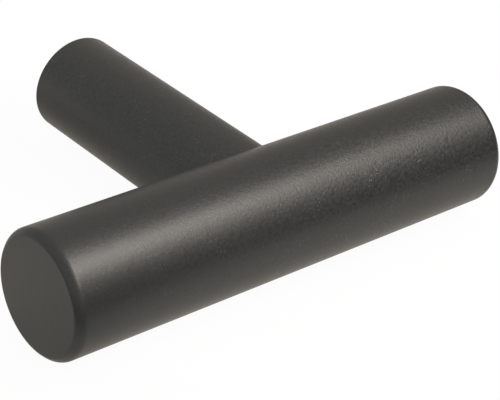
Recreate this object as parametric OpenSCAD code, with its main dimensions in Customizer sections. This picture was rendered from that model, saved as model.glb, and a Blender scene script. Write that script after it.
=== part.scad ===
// T handle knob: a round bar on one round post, screwed to a door or a drawer front through its back.
// The origin is the centre of the foot's face. The post runs along -Y to the bar, the bar lies along X, +Z is up.

/* [Bar] */
// Diameter of the bar
bar_d = 12; // [11:0.5:20]
// Length of the bar, end to end
bar_l = 51; // [25:1:200]
// Width of the 45 degree chamfer around each end of the bar
bar_chamfer = 0.55; // [0.2:0.05:2]

/* [Post] */
// Diameter of the post
post_d = 10; // [8:0.5:11]
// Distance from the foot's face to the front of the bar
projection = 36; // [32:0.5:80]
// Width of the 45 degree chamfer around the foot
foot_chamfer = 0.3; // [0.1:0.1:1]

/* [Seat of the post in the bar] */
// Depth of the pocket in the bar past the point where its rim is whole
seat_sink = 0.3; // [0.1:0.1:1]
// Gap between the post and the wall of the pocket
seat_gap = 0.05; // [0.02:0.01:0.2]
// Width of the 45 degree chamfer around the seated end of the post
seat_chamfer = 0.2; // [0.1:0.1:0.6]

/* [Threads] */
// Outer diameter of the thread of the stud and of the mounting screw
thread_d = 4; // [3:0.5:5]
// Pitch of the thread, by which the tapping drill is smaller than the thread
thread_pitch = 0.7; // [0.5:0.05:0.8]
// Angle of the tip of the tapping drill
drill_point_angle = 118; // [90:1:140]
// Depth of the tapped hole in the foot, down to its drill point
screw_hole_l = 12; // [6:0.5:14]
// Width of the 45 degree countersink around the thread at the foot
countersink = 0.3; // [0.1:0.1:0.8]

/* [Joining stud] */
// Length of the stud inside the post
stud_in_post = 6.5; // [4:0.5:8]
// Metal left between the tip of the stud's hole and the front of the bar
front_wall = 2; // [1:0.25:3]
// Room past each end of the stud in its hole
stud_end_room = 0.5; // [0.2:0.1:1]
// Gap between the core of the stud's thread and its hole
stud_gap = 0.03; // [0.01:0.01:0.1]
// Width of the 45 degree chamfer around each end of the stud
stud_chamfer = 0.4; // [0.1:0.1:0.6]
// Wall left outside the corners of the stud's hex socket
socket_wall = 0.45; // [0.3:0.05:0.7]
// Depth of the stud's hex socket
socket_l = 2; // [1:0.25:4]

/* [Hidden] */
$fn = 128;

// How far each cut starts outside the metal
cut_room = 1;

// Bar and post: the axis of the bar, the back of the bar and the floor of the pocket, as places on Y
bar_r = bar_d / 2;
post_r = post_d / 2;
bar_axis_y = bar_r - projection;
bar_back_y = bar_axis_y + bar_r;
seat_depth = bar_r - sqrt(max(0, bar_r * bar_r - post_r * post_r)) + seat_sink;
seat_y = bar_back_y - seat_depth;
post_l = -seat_y;

// Tapped holes: the bore of the tapping drill and the height of its tip
tap_d = thread_d - thread_pitch;
drill_point_l = tap_d / 2 / tan(drill_point_angle / 2);
countersink_d = thread_d + 2 * countersink;

// Stud: the core of its thread, its length on each side of the seat and its hex socket
stud_d = tap_d - 2 * stud_gap;
stud_in_bar = bar_d - seat_depth - front_wall - drill_point_l - stud_end_room;
stud_l = stud_in_bar + stud_in_post;
socket_corners_d = stud_d - 2 * socket_wall;

coat_colour = "#4b4a46";
zinc_colour = "silver";

// Puts a shape that stands on z = 0 on the axis of the post, at y, pointing to the foot
module towards_foot(y) translate([0, y, 0]) rotate([-90, 0, 0]) children();

// The same, pointing to the bar
module towards_bar(y) translate([0, y, 0]) rotate([90, 0, 0]) children();

// A turned rod that stands on z = 0, with a chamfer around each end
module turned_rod(d, l, low_chamfer, high_chamfer)
    rotate_extrude()
        polygon([
            [0, 0],
            [d / 2 - low_chamfer, 0],
            [d / 2, low_chamfer],
            [d / 2, l - high_chamfer],
            [d / 2 - high_chamfer, l],
            [0, l]
        ]);

// A tapped hole as its drill leaves it, with its mouth at z = 0
module tapped_hole(l)
    rotate_extrude()
        polygon([[0, -cut_room], [tap_d / 2, -cut_room], [tap_d / 2, l], [0, l + drill_point_l]]);

// The cone that opens the mouth of a tapped hole at z = 0
module countersink_cut()
    translate([0, 0, -cut_room])
        cylinder(d1 = countersink_d + 2 * cut_room, d2 = 0, h = countersink_d / 2 + cut_room);

// Solid round bar, with the pocket for the post and the tapped hole for the stud in its back
module bar()
    color(coat_colour)
        difference() {
            translate([-bar_l / 2, bar_axis_y, 0])
                rotate([0, 90, 0])
                    turned_rod(bar_d, bar_l, bar_chamfer, bar_chamfer);
            towards_foot(seat_y)
                cylinder(d = post_d + 2 * seat_gap, h = seat_depth + cut_room);
            towards_bar(seat_y)
                tapped_hole(stud_in_bar + stud_end_room);
        }

// Solid round post, tapped from its seated end for the stud and from its foot for the mounting screw
module post()
    color(coat_colour)
        difference() {
            towards_foot(seat_y)
                turned_rod(post_d, post_l, seat_chamfer, foot_chamfer);
            towards_foot(seat_y)
                tapped_hole(stud_in_post + stud_end_room);
            towards_bar(0) {
                tapped_hole(screw_hole_l);
                countersink_cut();
            }
        }

// Headless stud that draws the post into the bar, driven by the hex socket in its end towards the foot
module joining_stud()
    color(zinc_colour)
        difference() {
            towards_foot(seat_y - stud_in_bar)
                turned_rod(stud_d, stud_l, stud_chamfer, stud_chamfer);
            towards_foot(seat_y + stud_in_post - socket_l)
                cylinder(d = socket_corners_d, h = socket_l + cut_room, $fn = 6);
        }

bar();
post();
joining_stud();
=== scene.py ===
import math

import bmesh
import bpy
from mathutils import Matrix, Quaternion, Vector


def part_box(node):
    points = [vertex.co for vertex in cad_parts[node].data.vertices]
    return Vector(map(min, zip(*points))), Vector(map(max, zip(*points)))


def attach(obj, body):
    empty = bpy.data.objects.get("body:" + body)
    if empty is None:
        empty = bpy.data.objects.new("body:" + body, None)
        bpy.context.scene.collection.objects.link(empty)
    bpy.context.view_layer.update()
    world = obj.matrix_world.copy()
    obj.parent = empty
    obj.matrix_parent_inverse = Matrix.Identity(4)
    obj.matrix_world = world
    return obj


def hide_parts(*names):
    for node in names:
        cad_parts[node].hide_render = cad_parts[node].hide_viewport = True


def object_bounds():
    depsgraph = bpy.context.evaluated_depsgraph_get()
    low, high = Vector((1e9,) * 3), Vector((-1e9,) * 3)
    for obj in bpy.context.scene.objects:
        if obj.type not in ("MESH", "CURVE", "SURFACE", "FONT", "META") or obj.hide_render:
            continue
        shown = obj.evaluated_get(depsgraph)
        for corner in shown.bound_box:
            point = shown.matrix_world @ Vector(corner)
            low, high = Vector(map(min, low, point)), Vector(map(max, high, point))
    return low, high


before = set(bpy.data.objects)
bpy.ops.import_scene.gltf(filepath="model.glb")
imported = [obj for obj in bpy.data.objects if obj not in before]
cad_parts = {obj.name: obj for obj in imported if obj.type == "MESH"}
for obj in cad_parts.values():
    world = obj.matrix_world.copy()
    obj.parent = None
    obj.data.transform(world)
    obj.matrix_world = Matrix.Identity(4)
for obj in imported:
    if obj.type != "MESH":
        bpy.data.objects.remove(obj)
cad_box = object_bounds()


# Bar
# Solid steel, turned from round rod with a chamfer around each end, then powder coated in a dark matt grey.
# A flat-bottomed pocket milled in its back takes the post, and a tapped hole in the pocket's floor takes
# the stud that holds the two together.
MM = 0.001
ALONG_BAR = Vector((1, 0, 0))
ALONG_POST = Vector((0, 1, 0))
ACROSS = Vector((0, 0, 1))

bar_low, bar_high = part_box("bar")
BAR_R = bar_high.z
BAR_HALF_L = bar_high.x
BAR_CENTRE = (bar_low + bar_high) / 2
BAR_CHAMFER = 0.55 * MM
BAR_FACE_SOFT_EDGE = 0.15 * MM
BAR_SIDE_SOFT_EDGE = 0.34 * MM
SOFT_EDGE_STEPS = 5
BAR_STEPS = 288

post_low, post_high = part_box("post")
POST_R = post_high.x
SEAT_Y = post_low.y
POCKET_R = POST_R + 0.05 * MM
POCKET_ROOM = 1.0 * MM
POCKET_STEPS = 192

stud_low, stud_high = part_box("joining_stud")
DRILL_R = 1.65 * MM
DRILL_POINT_ANGLE = math.radians(118)
DRILL_POINT = DRILL_R / math.tan(DRILL_POINT_ANGLE / 2)
STUD_END_ROOM = 0.5 * MM
THREAD_PITCH = 0.7 * MM
THREAD_CREST = THREAD_PITCH / 8
THREAD_FLANK = math.radians(30)
THREAD_STEPS = 48
TAP_CORE_R = 1.55 * MM
TAP_CREST_R = 2.02 * MM
TAP_SHORT_OF_DRILL = 0.6 * MM

EDGE_SUPPORT = 0.12 * MM
SHARP_EDGE = math.radians(25)
MERGE_WITHIN = 0.0002 * MM

COAT_COLOUR = (0.0436, 0.0440, 0.0410)
COAT_PALE_COLOUR = (0.0876, 0.0882, 0.0824)
COAT_FLECK_COLOUR = (0.124, 0.125, 0.118)
COAT_METALLIC = 0.90
COAT_EDGE_TINT = (1.0, 0.94, 0.88)
COAT_SPECULAR = 0.38
COAT_ROUGHNESS = (0.385, 0.485)
COAT_ROUGHNESS_RANGE = (0.3, 0.7)
COAT_GRAIN = 0.30 * MM
COAT_GRAIN_DETAIL = 2.0
COAT_GRAIN_FINE_SHARE = 0.65
COAT_GRAIN_LEVEL = 0.5
COAT_GRAIN_ENDS = (-25.0 * MM, 10.0 * MM)
COAT_GRAIN_PART = (0.40, 1.25)
COAT_FLECK = 0.20 * MM
COAT_FLECK_SHARE = 0.30
COAT_FLECK_SPREAD = (0.5, 0.2)
COAT_PATCH = 3.0 * MM
COAT_PATCH_RANGE = (0.47, 0.62)
COAT_PEEL = 1.1 * MM
COAT_PEEL_DETAIL = 1.0
COAT_GRAIN_HEIGHT = 0.018 * MM
COAT_FLECK_HEIGHT = 0.014 * MM
COAT_PEEL_HEIGHT = 0.012 * MM

BARE_STEEL_COLOUR = (0.40, 0.39, 0.37)
BARE_STEEL_PALE_COLOUR = (0.52, 0.51, 0.49)
BARE_STEEL_ROUGHNESS = (0.26, 0.42)
BARE_STEEL_GRAIN = 0.3 * MM
METAL_GRAIN_DETAIL = 4.0


def wire(outline, centre, axis):
    """One open wire along an outline, given as (place along the axis, radius) from one end to the other."""
    bm = bmesh.new()
    verts = [bm.verts.new(centre + axis * along + ACROSS * radius) for along, radius in outline]
    for first, second in zip(verts, verts[1:]):
        bm.edges.new((first, second))
    return bm, verts


def closed(bm):
    """Joins the seams of a spun shape, fills its open ends and turns its faces outwards."""
    bmesh.ops.remove_doubles(bm, verts=bm.verts, dist=MERGE_WITHIN)
    bmesh.ops.holes_fill(bm, edges=[edge for edge in bm.edges if edge.is_boundary], sides=0)
    bmesh.ops.recalc_face_normals(bm, faces=bm.faces)
    return bm


def turned(outline, centre, axis, steps, soft_edges=()):
    """A solid turned on a lathe. Soft edges are corners of its outline, each group with its own width."""
    bm, verts = wire(outline, centre, axis)
    for corners, width in soft_edges:
        bmesh.ops.bevel(
            bm, geom=[verts[corner] for corner in corners], offset=width, offset_type="OFFSET",
            segments=SOFT_EDGE_STEPS, profile=0.5, affect="VERTICES", material=-1,
        )
    bmesh.ops.spin(
        bm, geom=bm.verts[:] + bm.edges[:], cent=centre, axis=axis, angle=math.tau, steps=steps,
        use_merge=True, use_duplicate=False,
    )
    return closed(bm)


def threaded(low, high, core_r, crest_r):
    """A threaded rod on the post's axis from low to high. All such threads run in step with each other."""
    half_crest = THREAD_CREST / 2
    half_root = half_crest + (crest_r - core_r) * math.tan(THREAD_FLANK)
    half_pitch = THREAD_PITCH / 2
    outline = [(-half_pitch, core_r), (-half_root, core_r), (-half_crest, crest_r)]
    outline += [(-along, radius) for along, radius in reversed(outline)]
    first_turn = math.floor(low / THREAD_PITCH) - 1
    turns = math.ceil(high / THREAD_PITCH) + 1 - first_turn
    bm, _ = wire(outline, ALONG_POST * (first_turn * THREAD_PITCH), ALONG_POST)
    bmesh.ops.spin(
        bm, geom=bm.verts[:] + bm.edges[:], cent=(0, 0, 0), axis=ALONG_POST, angle=math.tau * turns,
        dvec=ALONG_POST * (THREAD_PITCH / THREAD_STEPS), steps=THREAD_STEPS * turns, use_duplicate=False,
    )
    bmesh.ops.remove_doubles(bm, verts=bm.verts, dist=MERGE_WITHIN)
    for place, outwards in ((low, -ALONG_POST), (high, ALONG_POST)):
        bmesh.ops.bisect_plane(
            bm, geom=bm.verts[:] + bm.edges[:] + bm.faces[:], plane_co=ALONG_POST * place,
            plane_no=outwards, clear_outer=True,
        )
    return closed(bm)


def piece_from(bm, name, *materials):
    """A piece at the origin with that mesh and those finishes."""
    mesh = bpy.data.meshes.new(name)
    bm.to_mesh(mesh)
    bm.free()
    for material in materials:
        mesh.materials.append(material)
    piece = bpy.data.objects.new(name, mesh)
    bpy.context.scene.collection.objects.link(piece)
    return piece


def machined(piece, tools, operation="DIFFERENCE"):
    """Works a piece with tools and takes them away. The walls that they leave have the tools' finish."""
    for tool in tools:
        step = piece.modifiers.new(tool.name, "BOOLEAN")
        step.object = tool
        step.operation = operation
        step.solver = "EXACT"
        step.material_mode = "TRANSFER"
    graph = bpy.context.evaluated_depsgraph_get()
    piece.data = bpy.data.meshes.new_from_object(piece.evaluated_get(graph))
    piece.modifiers.clear()
    for tool in tools:
        bpy.data.objects.remove(tool)


def smooth_shaded(piece):
    """Smooth shading, broken only at the piece's sharp edges."""
    piece.data.shade_smooth()
    piece.data.set_sharp_from_angle(angle=SHARP_EDGE)


def coat_material():
    """Dark matt powder coat: fine grain, a faint ripple, and patches of paler flecks that stand up a little.

    Its grain and flecks are fainter towards the left end of the bar.
    """
    material = bpy.data.materials.new("dark_powder_coat")
    material.use_nodes = True
    nodes, links = material.node_tree.nodes, material.node_tree.links
    shader = nodes["Principled BSDF"]
    shader.inputs["Metallic"].default_value = COAT_METALLIC
    shader.inputs["Specular IOR Level"].default_value = COAT_SPECULAR
    shader.inputs["Specular Tint"].default_value = (*COAT_EDGE_TINT, 1)
    place = nodes.new("ShaderNodeTexCoord")

    grain = nodes.new("ShaderNodeTexNoise")
    grain.inputs["Scale"].default_value = 1 / COAT_GRAIN
    grain.inputs["Detail"].default_value = COAT_GRAIN_DETAIL
    grain.inputs["Roughness"].default_value = COAT_GRAIN_FINE_SHARE
    links.new(place.outputs["Object"], grain.inputs["Vector"])
    split_place = nodes.new("ShaderNodeSeparateXYZ")
    links.new(place.outputs["Object"], split_place.inputs["Vector"])
    grain_part = nodes.new("ShaderNodeMapRange")
    grain_part.inputs["From Min"].default_value = COAT_GRAIN_ENDS[0]
    grain_part.inputs["From Max"].default_value = COAT_GRAIN_ENDS[1]
    grain_part.inputs["To Min"].default_value = COAT_GRAIN_PART[0]
    grain_part.inputs["To Max"].default_value = COAT_GRAIN_PART[1]
    links.new(split_place.outputs["X"], grain_part.inputs["Value"])
    uneven_grain = nodes.new("ShaderNodeMix")
    uneven_grain.clamp_factor = False
    uneven_grain.inputs["A"].default_value = COAT_GRAIN_LEVEL
    links.new(grain_part.outputs["Result"], uneven_grain.inputs["Factor"])
    links.new(grain.outputs["Fac"], uneven_grain.inputs["B"])

    flake = nodes.new("ShaderNodeTexVoronoi")
    flake.inputs["Scale"].default_value = 1 / COAT_FLECK
    links.new(place.outputs["Object"], flake.inputs["Vector"])
    draw = nodes.new("ShaderNodeSeparateColor")
    links.new(flake.outputs["Color"], draw.inputs["Color"])
    drawn = nodes.new("ShaderNodeMapRange")
    drawn.inputs["From Min"].default_value = 1 - COAT_FLECK_SHARE
    links.new(draw.outputs["Red"], drawn.inputs["Value"])
    core = nodes.new("ShaderNodeMapRange")
    core.inputs["From Min"].default_value = COAT_FLECK_SPREAD[0]
    core.inputs["From Max"].default_value = COAT_FLECK_SPREAD[1]
    links.new(flake.outputs["Distance"], core.inputs["Value"])
    patch = nodes.new("ShaderNodeTexNoise")
    patch.inputs["Scale"].default_value = 1 / COAT_PATCH
    links.new(place.outputs["Object"], patch.inputs["Vector"])
    patched = nodes.new("ShaderNodeMapRange")
    patched.inputs["From Min"].default_value = COAT_PATCH_RANGE[0]
    patched.inputs["From Max"].default_value = COAT_PATCH_RANGE[1]
    links.new(patch.outputs["Fac"], patched.inputs["Value"])
    links.new(grain_part.outputs["Result"], patched.inputs["To Max"])
    fleck_shape = nodes.new("ShaderNodeMath")
    fleck_shape.operation = "MULTIPLY"
    links.new(drawn.outputs["Result"], fleck_shape.inputs[0])
    links.new(core.outputs["Result"], fleck_shape.inputs[1])
    fleck = nodes.new("ShaderNodeMath")
    fleck.operation = "MULTIPLY"
    links.new(fleck_shape.outputs["Value"], fleck.inputs[0])
    links.new(patched.outputs["Result"], fleck.inputs[1])

    tone = nodes.new("ShaderNodeMix")
    tone.data_type = "RGBA"
    tone.inputs["A"].default_value = (*COAT_COLOUR, 1)
    tone.inputs["B"].default_value = (*COAT_PALE_COLOUR, 1)
    links.new(uneven_grain.outputs["Result"], tone.inputs["Factor"])
    flecked = nodes.new("ShaderNodeMix")
    flecked.data_type = "RGBA"
    flecked.inputs["B"].default_value = (*COAT_FLECK_COLOUR, 1)
    links.new(tone.outputs["Result"], flecked.inputs["A"])
    links.new(fleck.outputs["Value"], flecked.inputs["Factor"])
    links.new(flecked.outputs["Result"], shader.inputs["Base Color"])

    gloss = nodes.new("ShaderNodeMapRange")
    gloss.inputs["From Min"].default_value = COAT_ROUGHNESS_RANGE[0]
    gloss.inputs["From Max"].default_value = COAT_ROUGHNESS_RANGE[1]
    gloss.inputs["To Min"].default_value = COAT_ROUGHNESS[0]
    gloss.inputs["To Max"].default_value = COAT_ROUGHNESS[1]
    links.new(uneven_grain.outputs["Result"], gloss.inputs["Value"])
    links.new(gloss.outputs["Result"], shader.inputs["Roughness"])

    peel = nodes.new("ShaderNodeTexNoise")
    peel.inputs["Scale"].default_value = 1 / COAT_PEEL
    peel.inputs["Detail"].default_value = COAT_PEEL_DETAIL
    links.new(place.outputs["Object"], peel.inputs["Vector"])
    ripple = nodes.new("ShaderNodeBump")
    ripple.inputs["Distance"].default_value = COAT_PEEL_HEIGHT
    links.new(peel.outputs["Fac"], ripple.inputs["Height"])
    texture = nodes.new("ShaderNodeBump")
    texture.inputs["Distance"].default_value = COAT_GRAIN_HEIGHT
    links.new(uneven_grain.outputs["Result"], texture.inputs["Height"])
    links.new(ripple.outputs["Normal"], texture.inputs["Normal"])
    nibs = nodes.new("ShaderNodeBump")
    nibs.inputs["Distance"].default_value = COAT_FLECK_HEIGHT
    links.new(fleck.outputs["Value"], nibs.inputs["Height"])
    links.new(texture.outputs["Normal"], nibs.inputs["Normal"])
    links.new(nibs.outputs["Normal"], shader.inputs["Normal"])
    return material


def metal_material(name, colour, pale_colour, roughness, grain_size):
    """Bare or plated steel, a little uneven in tone and gloss."""
    material = bpy.data.materials.new(name)
    material.use_nodes = True
    nodes, links = material.node_tree.nodes, material.node_tree.links
    shader = nodes["Principled BSDF"]
    shader.inputs["Metallic"].default_value = 1.0
    place = nodes.new("ShaderNodeTexCoord")
    grain = nodes.new("ShaderNodeTexNoise")
    grain.inputs["Scale"].default_value = 1 / grain_size
    grain.inputs["Detail"].default_value = METAL_GRAIN_DETAIL
    links.new(place.outputs["Object"], grain.inputs["Vector"])
    tone = nodes.new("ShaderNodeMix")
    tone.data_type = "RGBA"
    tone.inputs["A"].default_value = (*colour, 1)
    tone.inputs["B"].default_value = (*pale_colour, 1)
    links.new(grain.outputs["Fac"], tone.inputs["Factor"])
    links.new(tone.outputs["Result"], shader.inputs["Base Color"])
    gloss = nodes.new("ShaderNodeMapRange")
    gloss.inputs["To Min"].default_value = roughness[0]
    gloss.inputs["To Max"].default_value = roughness[1]
    links.new(grain.outputs["Fac"], gloss.inputs["Value"])
    links.new(gloss.outputs["Result"], shader.inputs["Roughness"])
    return material


coat = coat_material()
bare_steel = metal_material(
    "bare_steel", BARE_STEEL_COLOUR, BARE_STEEL_PALE_COLOUR, BARE_STEEL_ROUGHNESS, BARE_STEEL_GRAIN,
)

bar_outline = [
    (-BAR_HALF_L, BAR_R - BAR_CHAMFER - BAR_FACE_SOFT_EDGE - EDGE_SUPPORT),
    (-BAR_HALF_L, BAR_R - BAR_CHAMFER),
    (BAR_CHAMFER - BAR_HALF_L, BAR_R),
    (BAR_CHAMFER + BAR_SIDE_SOFT_EDGE + EDGE_SUPPORT - BAR_HALF_L, BAR_R),
    (-POCKET_R - POCKET_ROOM, BAR_R),
]
bar_outline += [(-along, radius) for along, radius in reversed(bar_outline)]
bar_soft_edges = [((1, 8), BAR_FACE_SOFT_EDGE), ((2, 7), BAR_SIDE_SOFT_EDGE)]
bar = piece_from(
    turned(bar_outline, BAR_CENTRE, ALONG_BAR, BAR_STEPS, bar_soft_edges), "coated_bar", coat,
)

bar_drill_end = stud_low.y - STUD_END_ROOM
pocket_outline = [
    (bar_high.y + POCKET_ROOM, POCKET_R),
    (SEAT_Y, POCKET_R),
    (SEAT_Y, DRILL_R),
    (bar_drill_end, DRILL_R),
    (bar_drill_end - DRILL_POINT, 0),
]
pocket_cutter = piece_from(turned(pocket_outline, Vector(), ALONG_POST, POCKET_STEPS), "pocket_cutter", coat)
bar_tap = piece_from(
    threaded(bar_drill_end + TAP_SHORT_OF_DRILL, SEAT_Y + POCKET_ROOM, TAP_CORE_R, TAP_CREST_R),
    "bar_tap", bare_steel,
)
machined(bar, [pocket_cutter, bar_tap])
smooth_shaded(bar)
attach(bar, "root")
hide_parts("bar")


# Post
# Solid steel rod with the same coat. Its square end sits in the bar's pocket, and its foot stands on the
# door. Both ends are drilled and tapped M4, the inner one for the stud and the foot for the mounting screw.
FOOT_Y = post_high.y
FOOT_CHAMFER = 0.3 * MM
SEAT_CHAMFER = 0.2 * MM
POST_SOFT_EDGE = 0.08 * MM
POST_STEPS = 240
COUNTERSINK_R = 2.3 * MM
SCREW_HOLE_L = 12.0 * MM
FOOT_TAP_L = 11.0 * MM

post_drill_end = stud_high.y + STUD_END_ROOM
post_outline = [
    (post_drill_end + DRILL_POINT, 0),
    (post_drill_end, DRILL_R),
    (SEAT_Y, DRILL_R),
    (SEAT_Y, POST_R - SEAT_CHAMFER),
    (SEAT_Y + SEAT_CHAMFER, POST_R),
    (FOOT_Y - FOOT_CHAMFER, POST_R),
    (FOOT_Y, POST_R - FOOT_CHAMFER),
    (FOOT_Y, COUNTERSINK_R),
    (FOOT_Y - COUNTERSINK_R + DRILL_R, DRILL_R),
    (FOOT_Y - SCREW_HOLE_L, DRILL_R),
    (FOOT_Y - SCREW_HOLE_L - DRILL_POINT, 0),
]
post_soft_edges = [((3, 4, 5, 6, 7), POST_SOFT_EDGE)]
post_bm = turned(post_outline, Vector(), ALONG_POST, POST_STEPS, post_soft_edges)
for face in post_bm.faces:
    reach = max(math.hypot(vert.co.x, vert.co.z) for vert in face.verts)
    face.material_index = int(reach < DRILL_R + MERGE_WITHIN)
post = piece_from(post_bm, "coated_post", coat, bare_steel)
stud_tap = piece_from(
    threaded(SEAT_Y - POCKET_ROOM, post_drill_end - TAP_SHORT_OF_DRILL, TAP_CORE_R, TAP_CREST_R),
    "stud_tap", bare_steel,
)
foot_tap = piece_from(
    threaded(FOOT_Y - FOOT_TAP_L, FOOT_Y + POCKET_ROOM, TAP_CORE_R, TAP_CREST_R), "foot_tap", bare_steel,
)
machined(post, [stud_tap, foot_tap])
smooth_shaded(post)
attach(post, "root")
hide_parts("post")


# Joining stud
# A headless M4 stud of zinc plated steel, rolled and cut to length, with a hex socket in one end.
# It is hidden inside: screwed into the bar, it draws the post down onto the floor of the pocket.
STUD_CORE_R = stud_high.x
STUD_CREST_R = 1.98 * MM
STUD_CHAMFER = 0.4 * MM
STUD_STEPS = 96
SOCKET_CORNER_R = 1.17 * MM
SOCKET_L = 2.0 * MM
HEX_SIDES = 6
ZINC_COLOUR = (0.55, 0.56, 0.57)
ZINC_PALE_COLOUR = (0.68, 0.69, 0.69)
ZINC_ROUGHNESS = (0.22, 0.38)
ZINC_GRAIN = 0.4 * MM

zinc = metal_material("zinc_plate", ZINC_COLOUR, ZINC_PALE_COLOUR, ZINC_ROUGHNESS, ZINC_GRAIN)
stud = piece_from(threaded(stud_low.y, stud_high.y, STUD_CORE_R, STUD_CREST_R), "zinc_stud", zinc)
stud_outline = [
    (stud_low.y, STUD_CREST_R - STUD_CHAMFER),
    (stud_low.y + STUD_CHAMFER, STUD_CREST_R + MERGE_WITHIN),
    (stud_high.y - STUD_CHAMFER, STUD_CREST_R + MERGE_WITHIN),
    (stud_high.y, STUD_CREST_R - STUD_CHAMFER),
]
stud_blank = piece_from(turned(stud_outline, Vector(), ALONG_POST, STUD_STEPS), "stud_blank", zinc)
machined(stud, [stud_blank], "INTERSECT")
socket_outline = [(stud_high.y - SOCKET_L, SOCKET_CORNER_R), (stud_high.y + POCKET_ROOM, SOCKET_CORNER_R)]
socket_key = piece_from(turned(socket_outline, Vector(), ALONG_POST, HEX_SIDES), "socket_key", zinc)
machined(stud, [socket_key])
smooth_shaded(stud)
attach(stud, "root")
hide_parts("joining_stud")


# Floor
# A plain sheet of pale paper that the knob lies on, wide enough to fill every view.
# The camera sees it white, with a faint shadow. Its glow and its paper colour carry painted shade: painted
# shadows close beside and under the knob, and a painted falloff to the front, on the left and on the right.
# The coat's reflections and the light that the floor throws back show this painted shade, and the camera
# sees only a trace of it.
FLOOR_HALF = 2.5
FLOOR_COLOUR = (0.90, 0.90, 0.89)
FLOOR_WHITE_SHARE = 0.96
# Painted shadows on the floor: darker spots beside and under the post and beside the bar's left end, each
# given as centre, radii of its fade, and its level at the middle.
FLOOR_PAINTED_SHADOWS = (
    (Vector((-0.018, 0.007, cad_box[0].z)), (0.008, 0.030), 0.64),
    (Vector((-0.026, -0.030, cad_box[0].z)), (0.002, 0.012), 0.85),
    (Vector((-0.003, -0.017, cad_box[0].z)), (0.003, 0.012), 0.72),
)
# Painted falloff of the floor's light: it grows darker towards the front left and the front right, each
# given as direction, span and level far out.
FLOOR_PAINTED_FALLOFFS = (
    (Vector((-0.566, -0.825, 0)), (0.037, 0.066), 0.25),
    (Vector((0.677, -0.736, 0)), (0.060, 0.120), 0.30),
)


def floor_material():
    """Pale paper that the camera sees as white, with only a faint shadow left on it. To glossy surfaces its
    white glow is dimmed by painted shade, and its paper colour carries the same painted shade.
    """
    material = bpy.data.materials.new("pale_floor")
    material.use_nodes = True
    nodes, links = material.node_tree.nodes, material.node_tree.links
    nodes.remove(nodes["Principled BSDF"])
    place = nodes.new("ShaderNodeTexCoord")

    # Painted shade: every shadow spot and every falloff multiplies into one painted light level for the
    # floor.
    fades = []
    for centre, radii, near_white in FLOOR_PAINTED_SHADOWS:
        away = nodes.new("ShaderNodeVectorMath")
        away.operation = "DISTANCE"
        away.inputs[1].default_value = centre
        fades.append((away, radii, near_white, 1.0))
    for direction, edge, far_white in FLOOR_PAINTED_FALLOFFS:
        along = nodes.new("ShaderNodeVectorMath")
        along.operation = "DOT_PRODUCT"
        along.inputs[1].default_value = direction
        fades.append((along, edge, 1.0, far_white))
    painted_floor_light = None
    for measure, span, near_white, far_white in fades:
        links.new(place.outputs["Object"], measure.inputs[0])
        fade = nodes.new("ShaderNodeMapRange")
        fade.interpolation_type = "SMOOTHSTEP"
        fade.inputs["From Min"].default_value = span[0]
        fade.inputs["From Max"].default_value = span[1]
        fade.inputs["To Min"].default_value = near_white
        fade.inputs["To Max"].default_value = far_white
        links.new(measure.outputs["Value"], fade.inputs["Value"])
        if painted_floor_light is None:
            painted_floor_light = fade.outputs["Result"]
            continue
        together = nodes.new("ShaderNodeMath")
        together.operation = "MULTIPLY"
        links.new(painted_floor_light, together.inputs[0])
        links.new(fade.outputs["Result"], together.inputs[1])
        painted_floor_light = together.outputs["Value"]

    path = nodes.new("ShaderNodeLightPath")
    # The white glow is dimmed by the painted shade in reflections, and the camera always sees it at full
    # strength.
    strength = nodes.new("ShaderNodeMath")
    strength.operation = "MAXIMUM"
    links.new(painted_floor_light, strength.inputs[0])
    links.new(path.outputs["Is Camera Ray"], strength.inputs[1])
    white = nodes.new("ShaderNodeEmission")
    links.new(strength.outputs["Value"], white.inputs["Strength"])
    # The paper's colour carries the same painted shade.
    tone = nodes.new("ShaderNodeVectorMath")
    tone.operation = "SCALE"
    tone.inputs[0].default_value = FLOOR_COLOUR
    links.new(painted_floor_light, tone.inputs["Scale"])
    paper = nodes.new("ShaderNodeBsdfDiffuse")
    links.new(tone.outputs["Vector"], paper.inputs["Color"])

    seen = nodes.new("ShaderNodeMath")
    seen.operation = "MAXIMUM"
    links.new(path.outputs["Is Camera Ray"], seen.inputs[0])
    links.new(path.outputs["Is Glossy Ray"], seen.inputs[1])
    seen_through = nodes.new("ShaderNodeMath")
    seen_through.operation = "MAXIMUM"
    links.new(seen.outputs["Value"], seen_through.inputs[0])
    links.new(path.outputs["Is Transmission Ray"], seen_through.inputs[1])
    share = nodes.new("ShaderNodeMath")
    share.operation = "MULTIPLY"
    share.inputs[1].default_value = FLOOR_WHITE_SHARE
    links.new(seen_through.outputs["Value"], share.inputs[0])
    mix = nodes.new("ShaderNodeMixShader")
    links.new(share.outputs["Value"], mix.inputs["Fac"])
    links.new(paper.outputs["BSDF"], mix.inputs[1])
    links.new(white.outputs["Emission"], mix.inputs[2])
    links.new(mix.outputs["Shader"], nodes["Material Output"].inputs["Surface"])
    return material


floor_bm = bmesh.new()
bmesh.ops.create_grid(floor_bm, x_segments=1, y_segments=1, size=FLOOR_HALF)
bmesh.ops.translate(floor_bm, verts=floor_bm.verts, vec=ACROSS * cad_box[0].z)
floor = piece_from(floor_bm, "floor", floor_material())


# Light
# One long warm soft box, high in front of the bar and on its right, turned to lie across the bar.
# A plain white room lights the rest, dimmer low down on the side that the soft box stands on.
ROOM_STRENGTH = 0.695
ROOM_DIM_STRENGTH = 0.13
ROOM_DIM_SIDE = Vector((0.865, -0.216, -0.454))
ROOM_DIM_FROM = 0.20
ROOM_DIM_TO = 0.85
SOFT_BOX_TOWARDS = Vector((0.355, -0.487, 0.798))
SOFT_BOX_DISTANCE = 0.506
SOFT_BOX_SIZE = (0.40, 0.13)
SOFT_BOX_LONG_SIDE = Vector((0.58, 0.81, 0.04))
SOFT_BOX_POWER = 1.95
SOFT_BOX_COLOUR = (1.0, 0.925, 0.91)

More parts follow.
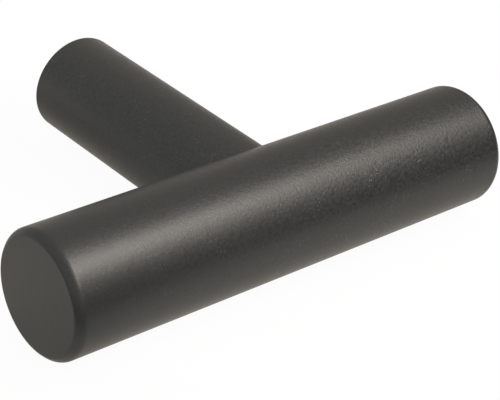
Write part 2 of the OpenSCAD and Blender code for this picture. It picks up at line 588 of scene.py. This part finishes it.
room = bpy.data.worlds.new("white_room")
bpy.context.scene.world = room
room.use_nodes = True
room_nodes, room_links = room.node_tree.nodes, room.node_tree.links
direction = room_nodes.new("ShaderNodeTexCoord")
towards_dim_side = room_nodes.new("ShaderNodeVectorMath")
towards_dim_side.operation = "DOT_PRODUCT"
towards_dim_side.inputs[1].default_value = ROOM_DIM_SIDE.normalized()
room_links.new(direction.outputs["Generated"], towards_dim_side.inputs[0])
brightness = room_nodes.new("ShaderNodeMapRange")
brightness.interpolation_type = "SMOOTHSTEP"
brightness.inputs["From Min"].default_value = ROOM_DIM_FROM
brightness.inputs["From Max"].default_value = ROOM_DIM_TO
brightness.inputs["To Min"].default_value = ROOM_STRENGTH
brightness.inputs["To Max"].default_value = ROOM_DIM_STRENGTH
room_links.new(towards_dim_side.outputs["Value"], brightness.inputs["Value"])
room_path = room_nodes.new("ShaderNodeLightPath")
room_seen = room_nodes.new("ShaderNodeMath")
room_seen.operation = "MAXIMUM"
room_links.new(brightness.outputs["Result"], room_seen.inputs[0])
room_links.new(room_path.outputs["Is Camera Ray"], room_seen.inputs[1])
room_links.new(room_seen.outputs["Value"], room_nodes["Background"].inputs["Strength"])
room_nodes["Background"].inputs["Color"].default_value = (1, 1, 1, 1)

lamp = bpy.data.lights.new("soft_box", "AREA")
lamp.shape = "RECTANGLE"
lamp.size, lamp.size_y = SOFT_BOX_SIZE
lamp.energy = SOFT_BOX_POWER
lamp.color = SOFT_BOX_COLOUR
lamp_back = SOFT_BOX_TOWARDS.normalized()
lamp_up = lamp_back.cross(SOFT_BOX_LONG_SIDE).normalized()
lamp_axes = Matrix((lamp_up.cross(lamp_back), lamp_up, lamp_back)).transposed()
soft_box = bpy.data.objects.new("soft_box", lamp)
soft_box.location = BAR_CENTRE + lamp_back * SOFT_BOX_DISTANCE
soft_box.rotation_euler = lamp_axes.to_euler()
bpy.context.scene.collection.objects.link(soft_box)
bpy.context.scene.view_settings.view_transform = "Standard"


# Camera
# A long lens to the left of the bar and above its front, tipped a little to one side.
# Its place, angle and focal length come from the outline of the knob in the photograph.
CAMERA_PLACE = Vector((-0.10006, -0.13299, 0.08687))
CAMERA_AZIMUTH = math.radians(-43.534)
CAMERA_ELEVATION = math.radians(30.825)
CAMERA_ROLL = math.radians(6.081)
CAMERA_SENSOR = 36.0
PICTURE_WIDTH = 500
FOCAL_LENGTH_IN_PIXELS = 1825.5
CAMERA_LENS = CAMERA_SENSOR * FOCAL_LENGTH_IN_PIXELS / PICTURE_WIDTH
CAMERA_NEAR = 0.01
CAMERA_FAR = 10.0

sight = Vector((
    -math.sin(CAMERA_AZIMUTH) * math.cos(CAMERA_ELEVATION),
    math.cos(CAMERA_AZIMUTH) * math.cos(CAMERA_ELEVATION),
    -math.sin(CAMERA_ELEVATION),
))
lens = bpy.data.cameras.new("camera")
lens.sensor_width = CAMERA_SENSOR
lens.lens = CAMERA_LENS
lens.clip_start = CAMERA_NEAR
lens.clip_end = CAMERA_FAR
camera = bpy.data.objects.new("camera", lens)
camera.location = CAMERA_PLACE
camera.rotation_mode = "QUATERNION"
camera.rotation_quaternion = Quaternion(sight, -CAMERA_ROLL) @ sight.to_track_quat("-Z", "Y")
bpy.context.scene.collection.objects.link(camera)
bpy.context.scene.camera = camera
